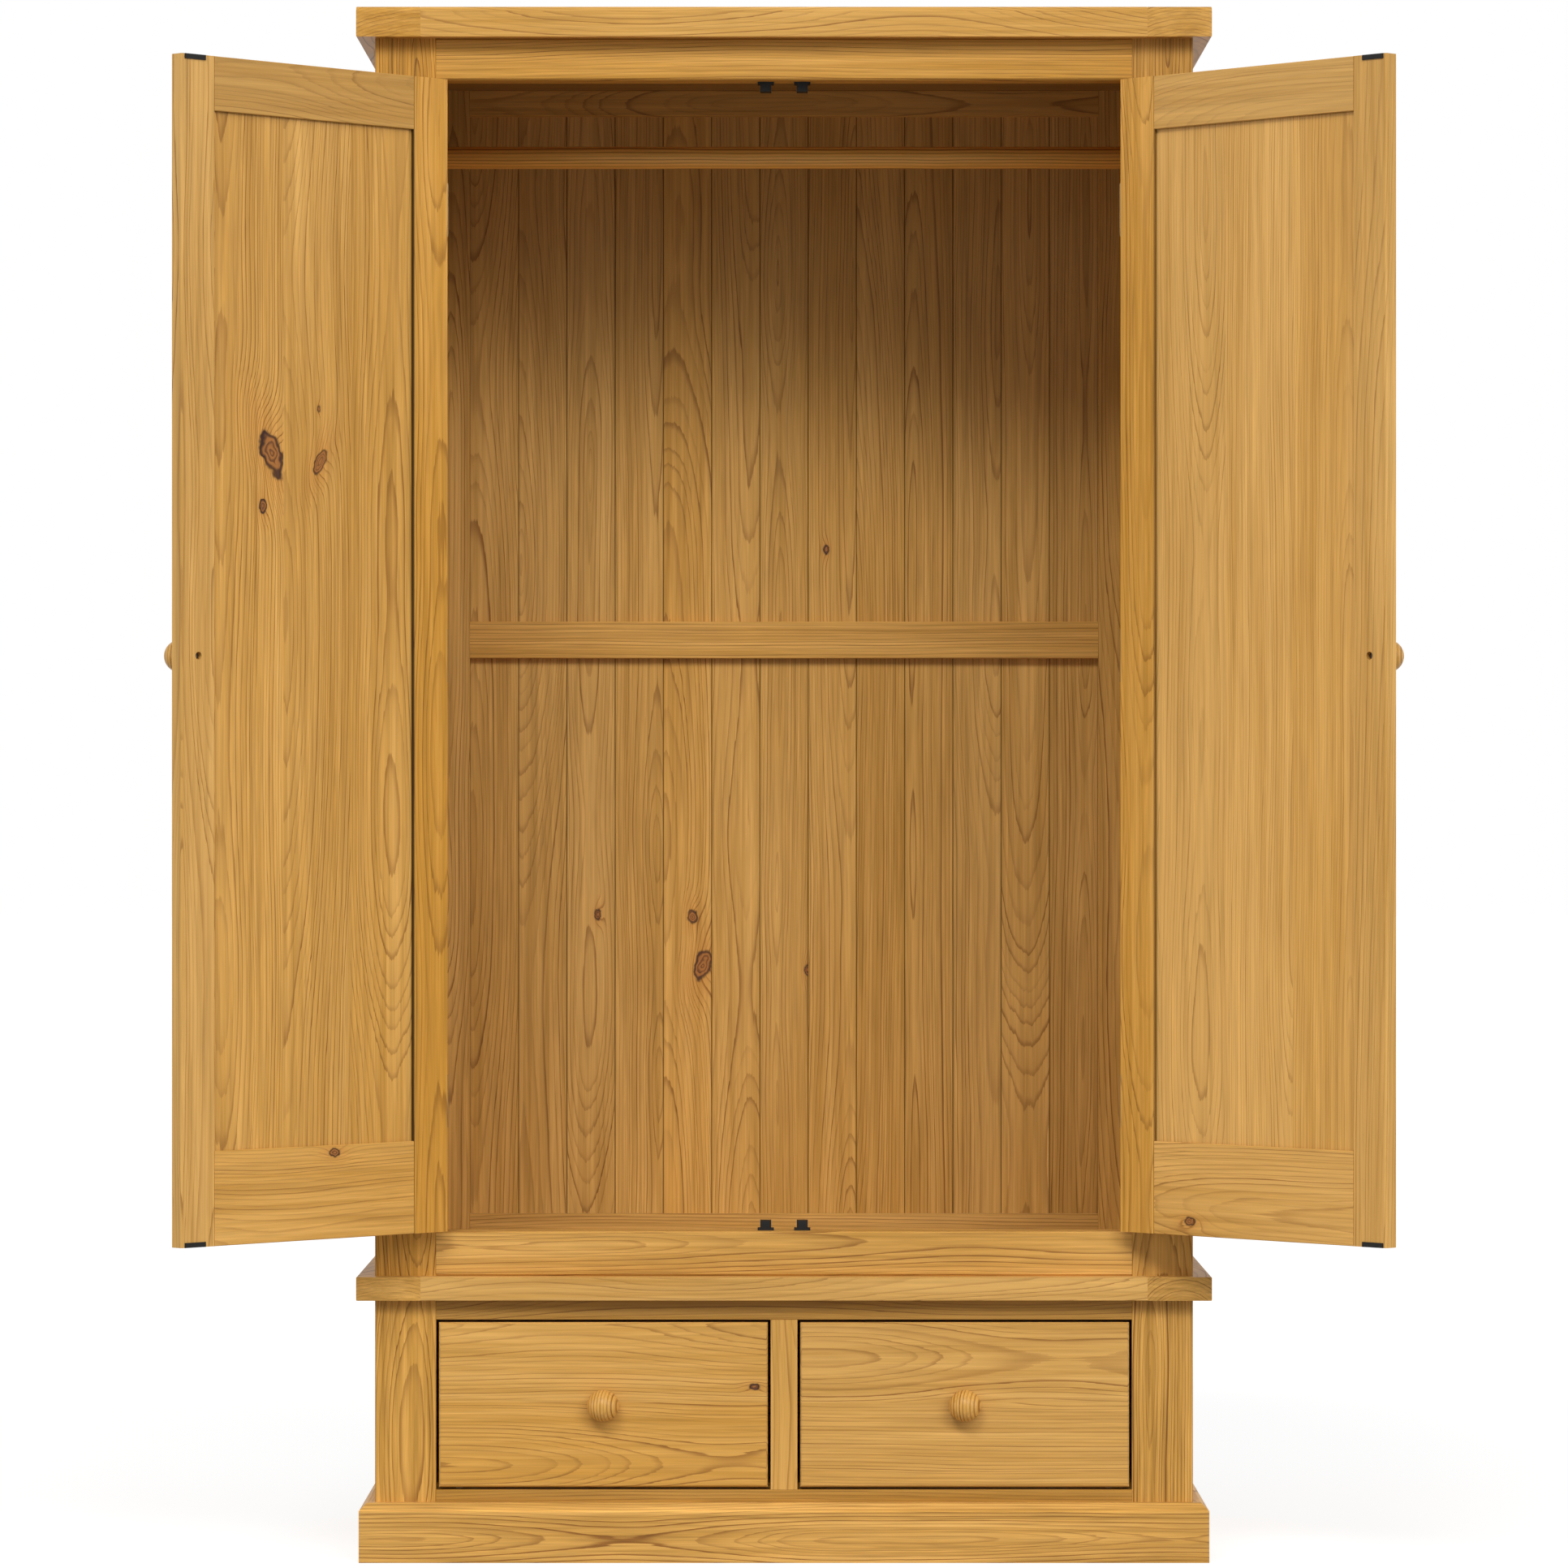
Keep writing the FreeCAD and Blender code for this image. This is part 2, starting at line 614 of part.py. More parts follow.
def make_door(name, side):
    """A framed door with a flat panel, loose in its groove towards the inside. It is drawn closed about its
    hinge's axis and then swung open."""
    place = (f"{side} * axis_across", "axis_front", 0)
    turn = ((0, 0, 1), f"{side} * door_open_angle")
    inward = -side

    def part(label, start, width, foot, height):
        at = (span(inward, start, width), "hinge_proud", foot)
        return Piece(f"{name}_door_{label}", place, turn).block(at, (width, "door_thick", height))

    def groove(piece, start, width, foot, height):
        return piece.slot((span(inward, start, width), "panel_front", foot), (width, "groove_wide", height))

    def upright(outer):
        return lambda direction, middle: abs(direction.z) > 0.99 and middle.x * outer > 0

    def stile(label, start, width, outer):
        piece = part(label, start, width, "door_foot", "door_height")
        return piece.ease("board_ease", upright(outer)).ease("fine_ease", upright(-outer))

    hinge_side = "door_edge + hinge_stile_width"
    meeting_side = "door_edge + door_width - meeting_stile_width"
    piece = stile("hinge_stile", "door_edge", "hinge_stile_width", -inward)
    groove(piece, f"{hinge_side} - panel_groove", "panel_groove", "door_foot", "door_height")
    hinge_seats(piece, inward, "door_edge", "hinge_proud")
    keep(piece)
    spot = (f"{inward} * knob_across", "hinge_proud", "knob_level")
    piece = stile("meeting_stile", meeting_side, "meeting_stile_width", inward)
    groove(piece, meeting_side, "panel_groove", "door_foot", "door_height")
    keep(knob_bores(piece, spot, "door_thick", "knob_bore_depth"))
    tenon = "panel_groove - panel_play"
    top_foot = "door_foot + door_height - door_top_rail"
    bottom_top = "door_foot + door_bottom_rail"
    for label, foot, height, groove_foot, tenon_foot in (
        ("top_rail", top_foot, "door_top_rail", top_foot, f"{top_foot} + panel_groove"),
        ("bottom_rail", "door_foot", "door_bottom_rail", f"{bottom_top} - panel_groove", "door_foot"),
    ):
        rail = part(label, hinge_side, "door_inner_width", foot, height).ease("fine_ease", along("x"))
        groove(rail, hinge_side, "door_inner_width", groove_foot, "panel_groove")
        for start in (f"{hinge_side} - ({tenon})", meeting_side):
            at = (span(inward, start, tenon), "panel_front", tenon_foot)
            rail.block(at, (tenon, "groove_wide", f"{height} - panel_groove"))
        keep(rail)
    width = f"door_inner_width + 2 * ({tenon})"
    at = (span(inward, f"{hinge_side} - ({tenon})", width), "panel_front", f"{bottom_top} - ({tenon})")
    height = f"door_height - door_bottom_rail - door_top_rail + 2 * ({tenon})"
    keep(Piece(f"{name}_door_panel", place, turn).block(at, (width, "panel_thick", height)))
    keep(knob(f"{name}_door_knob", place, turn, spot))

    leaves, screws = [], []
    for level in hinge_levels():
        corner = (place[0], place[1], level)
        leaves.append(hinge_leaf(f"{name}_door_leaf_{len(leaves)}", corner, turn, inward, (1,)))
        screws += hinge_screws(f"{name}_door_screw_{len(leaves)}", corner, turn, inward)
    group(f"{name}_door_hinge_leaves", leaves)
    screws.append(knob_screw(f"{name}_door_knob_screw", place, turn, spot, "door_thick", "knob_bore_depth"))
    group(f"{name}_door_screws", screws)
    plates = []
    start = "door_edge + door_width - strike_from_edge - strike_length"
    for foot in ("door_foot + door_height - strike_height", "door_foot"):
        plate = Piece(f"{name}_strike_{len(plates)}", place, turn)
        at = (span(inward, start, "strike_length"), "door_back", foot)
        plates.append(plate.block(at, ("strike_length", "strike_thick", "strike_height")))
    group(f"{name}_door_strike_plates", plates)


def make_drawer(name, side):
    """A drawer: an inset front, two grooved sides, a back, and a bottom slid in from behind."""
    place = (f"{side} * drawer_centre", 0, 0)
    grip = "box_inner + drawer_groove"

    def front_edges(direction, middle):
        return middle.y < 0 and abs(direction.y) < 0.5

    size = ("drawer_width", "drawer_front_thick", "drawer_height")
    front = Piece(f"{name}_drawer_front", place).block(("-drawer_width / 2", "front", "drawer_foot"), size)
    front.ease("board_ease", front_edges)
    at = (f"-({grip})", "box_front - drawer_groove", "bottom_level")
    front.slot(at, (f"2 * ({grip})", "drawer_groove", "drawer_bottom_thick"))
    spot = (0, "front", "drawer_foot + drawer_height / 2")
    keep(knob_bores(front, spot, "drawer_front_thick", "knob_bore_depth"))
    sides = []
    for way in SIDES.values():
        at = (span(way, "box_inner", "drawer_side_thick"), "box_front", "box_foot")
        size = ("drawer_side_thick", "drawer_length", "drawer_side_height")
        piece = board(f"{name}_drawer_side_{len(sides)}", at, size, "y", "fine_ease", place)
        at = (span(way, "box_inner", "drawer_groove"), "box_front", "bottom_level")
        sides.append(piece.slot(at, ("drawer_groove", "drawer_length", "drawer_bottom_thick")))
    group(f"{name}_drawer_sides", sides)
    back_foot = "bottom_level + drawer_bottom_thick"
    at = ("-box_inner", "box_front + drawer_length - drawer_side_thick", back_foot)
    height = f"box_foot + drawer_side_height - drawer_back_drop - ({back_foot})"
    size = ("2 * box_inner", "drawer_side_thick", height)
    keep(board(f"{name}_drawer_back", at, size, "x", "fine_ease", place))
    at = (f"-({grip}) + tongue_play", "box_front - drawer_groove + tongue_play", "bottom_level")
    length = "drawer_length + drawer_groove - tongue_play"
    size = (f"2 * ({grip} - tongue_play)", length, "drawer_bottom_thick")
    keep(Piece(f"{name}_drawer_bottom", place).block(at, size))
    keep(knob(f"{name}_drawer_knob", place, None, spot))
    label = f"{name}_drawer_knob_screw"
    keep(knob_screw(label, place, None, spot, "drawer_front_thick", "knob_bore_depth"))


def check_model():
    """Stops if an object failed, a cut removed nothing, or a sub-part isn't the solids it should be."""
    for thing in doc.Objects:
        if {"Invalid", "Error"} & set(thing.State):
            raise RuntimeError(f"{thing.Label} is {thing.State}")
        if thing.TypeId.startswith("PartDesign::Subtractive"):
            if thing.BaseFeature.Shape.Volume - thing.Shape.Volume < 0.01:
                raise RuntimeError(f"{thing.Label} cuts nothing")
    for part in subparts:
        wanted = len(part.Links) if hasattr(part, "Links") else 1
        if part.Shape.isNull() or not part.Shape.isValid() or len(part.Shape.Solids) != wanted:
            raise RuntimeError(f"{part.Label} isn't {wanted} valid solids")


fill_sheet()
make_plinth()
make_base()
make_waist()
make_cupboard()
make_back()
make_cornice()
make_hanging_rail()
make_catches()
make_frame_hinges()
for name, side in SIDES.items():
    make_door(name, side)
    make_drawer(name, side)
doc.recompute()
check_model()
os.makedirs("parts", exist_ok=True)
for part in subparts:
    part.Shape.exportStep(f"parts/{part.Label}.step")
print(len(subparts), "sub-parts")
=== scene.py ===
import json
import math

import bpy
import numpy as np
from mathutils import Matrix, Vector


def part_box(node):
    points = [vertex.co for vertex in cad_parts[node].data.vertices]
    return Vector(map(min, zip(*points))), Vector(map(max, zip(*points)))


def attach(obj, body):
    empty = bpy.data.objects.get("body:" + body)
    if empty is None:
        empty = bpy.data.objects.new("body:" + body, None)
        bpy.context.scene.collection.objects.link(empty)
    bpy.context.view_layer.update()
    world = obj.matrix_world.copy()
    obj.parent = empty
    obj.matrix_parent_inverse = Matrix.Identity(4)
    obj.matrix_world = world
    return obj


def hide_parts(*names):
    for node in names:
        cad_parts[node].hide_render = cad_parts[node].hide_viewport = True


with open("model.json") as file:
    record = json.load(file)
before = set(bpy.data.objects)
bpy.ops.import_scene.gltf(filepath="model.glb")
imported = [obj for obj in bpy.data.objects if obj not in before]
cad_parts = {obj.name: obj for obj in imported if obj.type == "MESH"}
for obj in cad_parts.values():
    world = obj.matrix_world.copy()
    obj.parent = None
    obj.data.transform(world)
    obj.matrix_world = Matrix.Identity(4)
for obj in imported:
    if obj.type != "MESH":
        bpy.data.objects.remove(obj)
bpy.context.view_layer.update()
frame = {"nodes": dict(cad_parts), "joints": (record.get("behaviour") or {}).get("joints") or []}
nodes = frame["nodes"]
joints = {joint["name"]: joint for joint in frame["joints"]}
SIDES = ("left", "right")


def linear(red, green, blue):
    """A display colour, each part from 0 to 255, as the linear colour that a shader takes."""
    parts = (value / 255 for value in (red, green, blue))
    return tuple(((v + 0.055) / 1.055) ** 2.4 if v > 0.04045 else v / 12.92 for v in parts)


class Field:
    """A number that varies over a surface: a shader socket, with the operators that add Math nodes."""

    def __init__(self, paint, socket):
        self.paint, self.socket = paint, socket

    def math(self, operation, *others, first=None):
        """A Math node of this field and the others, or of first and this field."""
        values = (self, *others) if first is None else (first, self)
        node = self.paint.node("ShaderNodeMath", {"operation": operation}, *values)
        return Field(self.paint, node.outputs[0])

    def __add__(self, other):
        return self.math("ADD", other)

    __radd__ = __add__

    def __sub__(self, other):
        return self.math("SUBTRACT", other)

    def __rsub__(self, other):
        return self.math("SUBTRACT", first=other)

    def __mul__(self, other):
        return self.math("MULTIPLY", other)

    __rmul__ = __mul__

    def __truediv__(self, other):
        return self.math("DIVIDE", other)

    def __neg__(self):
        return self * -1.0

    def __abs__(self):
        return self.math("ABSOLUTE")

    def __pow__(self, other):
        return self.math("POWER", other)

    def fade(self):
        """exp(-x) of this field: 1 at 0, then falling."""
        return (-self).math("EXPONENT")

    def step(self, low, high):
        """A smooth rise from 0 at low to 1 at high, or a fall when high is below low."""
        if low > high:
            return 1.0 - self.step(high, low)
        kind = {"interpolation_type": "SMOOTHSTEP"}
        node = self.paint.node("ShaderNodeMapRange", kind, self, low, high, 0.0, 1.0)
        return Field(self.paint, node.outputs[0])


class Paint:
    """The nodes of a material, or of the world, under construction around the shader it starts with."""

    def __init__(self, owner, shader="Principled BSDF"):
        owner.use_nodes = True
        self.owner, self.tree = owner, owner.node_tree
        self.shader = self.tree.nodes[shader]

    @classmethod
    def named(cls, name):
        """The paint of a new material."""
        return cls(bpy.data.materials.new(name))

    def join(self, value, socket):
        """Links a field or a socket to socket, or writes a plain value into it."""
        source = getattr(value, "socket", value)
        if isinstance(source, bpy.types.NodeSocket):
            self.tree.links.new(source, socket)
        else:
            socket.default_value = source

    def node(self, kind, settings, *values, **named):
        """Adds a node: its settings first, then its sockets, in order or by name."""
        node = self.tree.nodes.new(kind)
        for name, value in settings.items():
            setattr(node, name, value)
        for key, value in (dict(enumerate(values)) | named).items():
            self.join(value, node.inputs[key])
        return node

    def place(self, turn=None):
        """The three object coordinates as fields, turned by a matrix if one is given."""
        vector = self.node("ShaderNodeTexCoord", {}).outputs["Object"]
        if turn is not None:
            moved = self.node("ShaderNodeMapping", {}, Vector=vector, Location=turn.to_translation(),
                              Rotation=turn.to_euler())
            vector = moved.outputs[0]
        split = self.node("ShaderNodeSeparateXYZ", {}, vector)
        return [Field(self, output) for output in split.outputs]

    def noise(self, x, y, z, detail=2.0, roughness=0.5):
        """Noise about zero, from -0.5 to 0.5, of coordinates that are already scaled to its grain."""
        vector = self.node("ShaderNodeCombineXYZ", {}, x, y, z).outputs[0]
        node = self.node("ShaderNodeTexNoise", {}, Vector=vector, Scale=1.0, Detail=detail,
                         Roughness=roughness)
        return Field(self, node.outputs["Fac"]) - 0.5

    def chance(self, seed):
        """Three random numbers from 0 to 1 that change wherever seed does."""
        node = self.node("ShaderNodeTexWhiteNoise", {"noise_dimensions": "1D"}, W=seed)
        split = self.node("ShaderNodeSeparateColor", {}, node.outputs["Color"])
        return [Field(self, output) for output in split.outputs]

    def mix(self, amount, first, second):
        """A colour that goes from first to second as amount goes from 0 to 1."""
        node = self.node("ShaderNodeMix", {"data_type": "RGBA", "clamp_factor": True})
        for number, value in ((0, amount), (6, first), (7, second)):
            self.join((*value, 1.0) if isinstance(value, tuple) else value, node.inputs[number])
        return node.outputs[2]

    def shade(self, colour, amount):
        """A colour made lighter or darker by a field."""
        return self.node("ShaderNodeVectorMath", {"operation": "SCALE"}, colour, Scale=amount).outputs[0]

    def bump(self, height, distance, strength):
        """Raises the surface's shading where height is large."""
        node = self.node("ShaderNodeBump", {}, Height=height, Distance=distance, Strength=strength)
        self.join(node.outputs["Normal"], self.shader.inputs["Normal"])


# Pine: honey lacquer over wood whose growth rings are cylinders about a wandering pith. Early wood is the
# pale part of a ring and late wood the dark line that ends it. RING is a year's growth in metres.
EARLY_PALE, EARLY_WARM = linear(213, 166, 92), linear(206, 149, 57)
LATE_PALE, LATE_WARM = linear(138, 88, 32), linear(130, 78, 20)
KNOT_HEART, KNOT_RING, KNOT_RIM = linear(164, 104, 48), linear(92, 48, 20), linear(52, 24, 12)
KNOT_GLOW = linear(190, 122, 48)
RING = 0.0042
SHEEN = 0.28


def closed_turn(body):
    """The matrix that swings a door from its stored pose to closed, or None for any other body."""
    joint = joints.get(body + "_hinge")
    if joint is None:
        return None
    pivot = Matrix.Translation(Vector(joint["pos_m"]))
    swing = Matrix.Rotation(math.radians(joint["range_deg"][0]), 4, Vector(joint["axis"]))
    return pivot @ swing @ pivot.inverted()


def limits(node, turn=None, half=False):
    """The lowest and highest corner of a CAD node and the x of its middle plane, with its door swung closed
    if turn is given. With half, the corners are those of the right one of two mirrored pieces."""
    mesh = nodes[node].data
    points = np.empty(len(mesh.vertices) * 3, np.float32)
    mesh.vertices.foreach_get("co", points)
    points = points.reshape(-1, 3).astype(float)
    if turn is not None:
        matrix = np.array(turn)
        points = points @ matrix[:3, :3].T + matrix[:3, 3]
    middle = (points[:, 0].min() + points[:, 0].max()) / 2
    if half:
        points = points[points[:, 0] > middle]
    return points.min(0), points.max(0), middle


class Plank:
    """The wood of one CAD node as fields, in metres from its lowest corner: across the face, through the
    board and along the grain, which are the three directions that axes names. A door's node is measured
    with the door closed. strip is the width of the boards glued or laid side by side, each with rings of
    its own, and lead is where the first whole one begins. With pair, the node is two equal pieces and the
    left one is measured as the mirror image of the right."""

    def __init__(self, paint, node, axes, seed, strip=None, lead=0.0, pair=False, body="root"):
        turn = closed_turn(body)
        low, high, middle = limits(node, turn, pair)
        place = paint.place(turn)
        number = float(seed)
        if pair:
            offset = place[0] - float(middle)
            place[0] = abs(offset) + float(middle)
            number = offset.math("GREATER_THAN", 0.0) * 31.0 + number
        order = ["xyz".index(letter) for letter in axes]
        across, self.through, self.along = (place[i] - float(low[i]) for i in order)
        self.width, self.thick, self.length = (float(high[i] - low[i]) for i in order)
        self.strip = strip or self.width * 1.0001
        self.lead = lead
        self.across = across - lead
        self.index = (self.across / self.strip).math("FLOOR")
        self.local = self.across - (self.index + 0.5) * self.strip
        self.chances = paint.chance(self.index * 1.37 + number)
        self.shift = self.index * 5.3 + number


class Knot:
    """A knot in a plank: its place as shares of the face, across and along, its radius, and how far it leans
    across per length along. The rings bend round its halo."""

    def __init__(self, paint, plank, share_across, share_along, size, lean):
        at_across = share_across * plank.width - plank.lead
        here = plank.index.math("COMPARE", float(math.floor(at_across / plank.strip)), 0.5)
        up = plank.along - share_along * plank.length
        aside = plank.across - at_across - up * lean
        wobble = paint.noise(plank.across * (0.8 / size), plank.along * (0.8 / size), plank.shift, 2.0)
        self.size, self.here = size, here
        self.halo = ((aside / (2.0 * size)) ** 2.0 + (up / (4.5 * size)) ** 2.0).fade() * here
        self.distance = (aside * aside + up * up * 0.4) ** 0.5 + wobble * (0.9 * size)
        self.inside = self.distance.step(size, size * 0.86) * here

    def draw(self, paint, colour, broken):
        """The colour with the knot's ringed heart and its dark rim laid over it."""
        grown = (self.distance / max(self.size * 0.3, 0.0024)).math("FRACT")
        heart = paint.mix(grown.step(0.3, 0.8) + broken * 1.6, KNOT_HEART, KNOT_RING)
        rim = ((self.distance - self.size * 0.93) / max(self.size * 0.11, 0.0011)) ** 2.0
        colour = paint.mix(self.inside * 0.9, colour, heart)
        return paint.mix(rim.fade() * self.here * (0.9 + broken * 1.2), colour, KNOT_RIM)


def growth(paint, plank, pith, fibre, knots):
    """The year rings: how far through its year the wood is, three random numbers for each year, and how
    upright the rings stand to the face. The pith lies some way behind the face and drifts along the grain,
    which draws arches on the face."""
    across, along, shift = plank.across, plank.along, plank.shift
    first, second, third = plank.chances
    drift = paint.noise(along * 1.2, shift, 0.0, 1.0) * 0.15
    drift = drift + (along - plank.length / 2) * (third - 0.5) * 0.08
    sway = paint.noise(along * 0.8, shift, 7.0, 1.0)
    beside = plank.local - (first - 0.5) * (plank.strip + 0.03) - sway * 0.05
    behind = (plank.through - plank.thick) + pith * (0.4 + second * 1.6) + drift
    radius = (beside * beside + behind * behind) ** 0.5
    wave = paint.noise(across * 9.0, along * 1.6, shift, 2.0) * 0.014
    ripple = paint.noise(across * 70.0, along * 6.0, shift, 2.0) * 0.0024
    radius = radius + wave + ripple + fibre * 0.0014
    for knot in knots:
        radius = radius + knot.halo * (knot.size * 1.6)
    rings = radius / RING
    rings = rings + paint.noise(rings * 0.3, shift, 3.0, 1.0) * 2.6
    upright = (abs(beside) / radius * 1.4).math("MINIMUM", 1.0)
    return rings.math("FRACT"), paint.chance(rings.math("FLOOR") * 1.7 + shift), upright


def pine(node, axes, seed, knots=(), warm=0.3, light=1.0, bold=1.0, pith=0.03, layer=1.0, joint_shade=0.0,
         groove_shade=None, arris_highlight=None, **cut):
    """Pine on one CAD node, laid out by axes, seed and cut as a Plank takes them, with a Knot from each of
    knots. warm goes from straw to orange, light scales the tone and bold the figure; where light is lowered
    inside the cupboard and under the waist, that is painted shade. pith is about how far the pith lies
    behind the face. layer below 1 draws the streaks out across the face, as on end grain.
    joint_shade is how far the painted shade in the joints between strips reaches, a dark line where the
    groove between boards lies in shade. groove_shade is painted shade along one edge, where the groove
    beside a door
    panel lies in shade: the edge as a share of the width, its reach, and what is left of the tone.
    arris_highlight is a painted highlight, a pale line where light catches an arris: its place across and
    its reach."""
    paint = Paint.named("pine_" + node)
    plank = Plank(paint, node, axes, seed, **cut)
    across, through, along, shift = plank.across, plank.through, plank.along, plank.shift
    second, third = plank.chances[1:]
    fibre = paint.noise(across * (320.0 * layer), through * 320.0, along * 9.0 + shift, 2.0, 0.6)
    streak = paint.noise(across * (95.0 * layer), through * 95.0, along * 1.8 + shift, 4.0, 0.7)
    pores = fibre.step(0.08, 0.2) * paint.noise(across * 40.0, along * 14.0, shift, 1.0).step(-0.1, 0.15)
    cloud = paint.noise(across * 8.0, along * 1.3, shift + 3.0, 2.0)
    broken = paint.noise(across * 30.0, along * 2.2, shift + 9.0, 2.0)
    knots = [Knot(paint, plank, *facts) for facts in knots]

    phase, luck, upright = growth(paint, plank, pith, fibre, knots)
    strength = (luck[0] * luck[0] * 0.8 + 0.25 + broken * 1.2).math("MAXIMUM", 0.06) * (upright * 0.5 + 0.5)
    glow = 0.0
    for knot in knots:
        glow = knot.halo.math("MAXIMUM", glow)
    line = phase.step(0.7, 0.94) * phase.step(1.0, 0.96)
    late = line * (strength + glow * 0.5) + phase * phase * 0.3 * luck[1]
    late = (late * bold).math("MINIMUM", 1.0)

    early = paint.mix(warm - cloud * 0.9 - streak * 1.6 + (third - 0.5) * 0.4, EARLY_PALE, EARLY_WARM)
    dark = paint.mix(warm + cloud * 0.4, LATE_PALE, LATE_WARM)
    colour = paint.mix(late * 0.9, early, dark)
    if knots:
        colour = paint.mix(glow * 0.4, colour, KNOT_GLOW)
    tone = streak + cloud * 0.35 + fibre * 0.7 - pores * 0.18 + (second - 0.5) * 0.1
    shade = light * (1.0 + tone * bold)
    # Painted shade: a dark line along each joint between strips, where the groove between the boards lies in
    # shade.
    if joint_shade:
        edge = plank.strip / 2 - abs(plank.local)
        shade = shade * (1.0 - edge.step(joint_shade, 0.0) * 0.62)
    # Painted highlight: a pale line along an arris, where light catches the rounded edge.
    if arris_highlight:
        line_place, reach = arris_highlight
        shade = shade * (1.0 + abs(across - line_place).step(reach, reach * 0.4) * 0.3)
    # Painted shade: a dark band along one edge, where the groove beside a door panel lies in shade.
    if groove_shade:
        share, reach, left = groove_shade
        edge = abs(across + (plank.lead - share * plank.width))
        shade = shade * (1.0 - edge.step(reach, reach * 0.7) * (1.0 - left))
    colour = paint.shade(colour, shade)
    height = fibre * 0.7 - late * 0.6 - pores * 0.5
    for knot in knots:
        colour = knot.draw(paint, colour, broken)
        height = height - knot.inside * 0.6
    paint.join(colour, paint.shader.inputs["Base Color"])
    paint.join(0.47 + streak * 0.2 + late * 0.08, paint.shader.inputs["Roughness"])
    paint.shader.inputs["Specular IOR Level"].default_value = SHEEN
    paint.bump(height, 0.0005, 0.3)
    return paint.owner


def cover(name, material):
    """Gives one CAD node its material."""
    for slot in nodes[name].material_slots:
        slot.material = material


# The back boards reach into their frame by the rebate at each end of their row.
BACK_REBATE, BACK_BOARD_COUNT = 0.008, 13
BACK_LOW, BACK_HIGH, _ = limits("back_boards")
BOARD_PITCH = float(BACK_HIGH[0] - BACK_LOW[0] - 2 * BACK_REBATE) / BACK_BOARD_COUNT
PLINTH_CHAMFER = 0.0095
PLINTH_TOP = float(limits("plinth_front")[1][2])
# Painted shade: the factor by which the boards of the cupboard's inside are made darker.
INSIDE_SHADE = 0.92

# The grain runs along the last axis: x across the wardrobe, y front to back, z upright.
CARCASS = {
    "cornice_front": dict(axes="zyx", warm=0.25, bold=0.8),
    "cornice_returns": dict(axes="xzy", warm=0.8, pair=True, light=0.93, pith=0.15, layer=0.15),
    # top_panel: darkened as painted shade under the top inside the cupboard.
    "top_panel": dict(axes="yzx", strip=0.12, light=0.6),
    "top_rail": dict(axes="zyx", warm=0.9, light=0.95),
    "bottom_rail": dict(axes="zyx", warm=0.5),
    "left_stile": dict(axes="xyz", warm=0.8, bold=1.5, light=0.95),
    "right_stile": dict(axes="xyz", warm=0.8, bold=1.4, light=0.82),
    # side_panels: darkened as painted shade inside the cupboard.
    "side_panels": dict(axes="yxz", strip=0.128, pair=True, warm=0.1, light=0.85),
    "back_stiles": dict(axes="xyz", pair=True, warm=0.5, light=INSIDE_SHADE),
    "back_rails": dict(axes="zyx", strip=0.35, warm=0.4, light=INSIDE_SHADE),
    "waist_front": dict(axes="zyx", warm=0.15, bold=0.7),
    "waist_returns": dict(axes="xzy", warm=0.5, pair=True, light=0.92, pith=0.15, layer=0.15),
    "compartment_floor": dict(axes="yzx", strip=0.12, light=INSIDE_SHADE),
    "base_stiles": dict(axes="xyz", warm=0.7, pair=True, light=0.95, bold=1.5),
    # base_top_rail: darkened as painted shadow from the waist moulding above it.
    "base_top_rail": dict(axes="zyx", warm=0.6, light=0.7),
    "base_bottom_rail": dict(axes="zyx", warm=0.9, light=0.72),
    "drawer_divider": dict(axes="xyz", warm=0.2, bold=0.7),
    "base_sides": dict(axes="zxy", strip=0.11, pair=True),
    "base_back": dict(axes="zyx", strip=0.11),
    "drawer_partition": dict(axes="zxy", strip=0.11),
    "drawer_runners": dict(axes="zxy"),
    # plinth_front: a painted highlight runs along the arris under its chamfer.
    "plinth_front": dict(axes="zyx", warm=0.4, bold=1.3, arris_highlight=(PLINTH_TOP - PLINTH_CHAMFER, 0.002)),
    "plinth_returns": dict(axes="zxy", warm=0.4, pair=True),
}


def finish_carcass():
    """The boards of the carcass. The back boards have a few knots, and painted shade darkens the joint
    between each two.
    """
    for seed, (name, facts) in enumerate(CARCASS.items(), start=3):
        cover(name, pine(name, seed=seed, **facts))
    knots = ((0.357, 0.273, 0.006, 0.0), (0.373, 0.229, 0.012, 0.2), (0.566, 0.6045, 0.0035, 0.0),
             (0.537, 0.225, 0.004, 0.0), (0.209, 0.275, 0.004, 0.0))
    material = pine("back_boards", "xyz", 41, strip=BOARD_PITCH, lead=BACK_REBATE, knots=knots, joint_shade=0.0013,
                    warm=0.4, light=INSIDE_SHADE)
    cover("back_boards", material)


